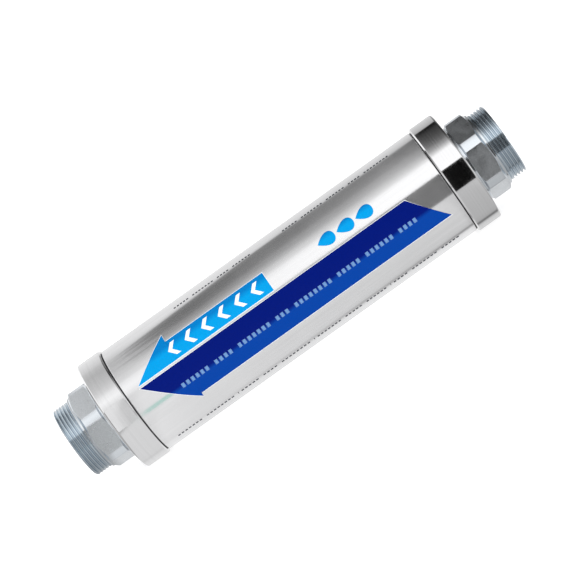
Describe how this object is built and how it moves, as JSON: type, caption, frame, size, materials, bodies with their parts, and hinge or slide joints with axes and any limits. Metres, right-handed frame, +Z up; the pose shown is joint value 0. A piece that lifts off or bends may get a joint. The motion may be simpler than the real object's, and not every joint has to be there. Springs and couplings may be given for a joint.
{
  "type": "in-line magnetic water filter",
  "caption": "Straight polished-steel in-line water filter: tubular housing, a screwed cap and a hex nipple with a male thread at each end, a magnet cartridge inside, flow arrows on its side.",
  "frame": {"origin": "middle of the housing tube on the flow axis, which is the centre of the whole part", "axes": "+X along the flow axis, towards the inlet, so the water flows along -X; -Y is the front, which the printed arrows face, tilted 20 degrees up; +Z up"},
  "size_m": [0.222, 0.052, 0.052],
  "materials": {
    "polished_steel": "mirror-polished stainless steel",
    "nickel_plate": "bright nickel plate on brass",
    "dark_blue_print": "gloss screen print",
    "light_blue_print": "gloss screen print",
    "black_rubber": "moulded EPDM",
    "white_acetal": "moulded acetal",
    "zinc": "cast zinc, machined",
    "copper": "turned copper",
    "magnet": "nickel-plated sintered magnet",
    "soft_iron": "turned soft iron",
    "stainless": "turned stainless steel"
  },
  "bodies": {
    "housing": {"big_arrow_film": "dark_blue_print", "copper_disc_1": "copper", "copper_disc_2": "copper", "copper_disc_3": "copper", "core_sleeve": "stainless", "disc_spacer_1": "white_acetal", "disc_spacer_2": "white_acetal", "disc_spacer_3": "white_acetal", "disc_spacer_4": "white_acetal", "disc_spacer_5": "white_acetal", "disc_spacer_6": "white_acetal", "disc_spacer_7": "white_acetal", "housing_tube": "polished_steel", "inlet_buffer_ring": "black_rubber", "inlet_core_plug": "stainless", "inlet_plug_o_ring": "black_rubber", "inlet_spider": "white_acetal", "inlet_tie_rod_nut": "stainless", "outlet_buffer_ring": "black_rubber", "outlet_core_plug": "stainless", "outlet_plug_o_ring": "black_rubber", "outlet_spider": "white_acetal", "outlet_tie_rod_nut": "stainless", "pole_piece_1": "soft_iron", "pole_piece_2": "soft_iron", "pole_piece_3": "soft_iron", "pole_piece_4": "soft_iron", "pole_piece_5": "soft_iron", "pole_piece_6": "soft_iron", "pole_piece_7": "soft_iron", "ring_magnet_1": "magnet", "ring_magnet_2": "magnet", "ring_magnet_3": "magnet", "ring_magnet_4": "magnet", "ring_magnet_5": "magnet", "ring_magnet_6": "magnet", "small_arrow_film": "light_blue_print", "tie_rod": "stainless", "zinc_disc_1": "zinc", "zinc_disc_2": "zinc", "zinc_disc_3": "zinc"},
    "outlet_gasket": {"outlet_flange_gasket": "black_rubber"},
    "outlet_cap": {"outlet_end_cap": "polished_steel", "outlet_cap_o_ring": "black_rubber", "outlet_nipple": "nickel_plate", "outlet_nipple_seal": "black_rubber"},
    "inlet_gasket": {"inlet_flange_gasket": "black_rubber"},
    "inlet_cap": {"inlet_end_cap": "polished_steel", "inlet_cap_o_ring": "black_rubber", "inlet_nipple": "nickel_plate", "inlet_nipple_seal": "black_rubber"}
  },
  "joints": [
    {"name": "inlet_cap_travel", "type": "slide", "parent": "housing", "child": "inlet_gasket", "axis": [1, 0, 0], "range_m": [0, 0.01]},
    {"name": "inlet_cap_turn", "type": "hinge", "parent": "inlet_gasket", "child": "inlet_cap", "pos_m": [0.08, 0, 0], "axis": [1, 0, 0], "range_deg": [0, 2400]},
    {"name": "outlet_cap_travel", "type": "slide", "parent": "housing", "child": "outlet_gasket", "axis": [-1, 0, 0], "range_m": [0, 0.01]},
    {"name": "outlet_cap_turn", "type": "hinge", "parent": "outlet_gasket", "child": "outlet_cap", "pos_m": [-0.08, 0, 0], "axis": [-1, 0, 0], "range_deg": [0, 2400]}
  ],
  "couplings": [
    {"joint": "outlet_cap_travel", "follows": "outlet_cap_turn", "m_per_rad": 0.00023873},
    {"joint": "inlet_cap_travel", "follows": "inlet_cap_turn", "m_per_rad": 0.00023873}
  ]
}
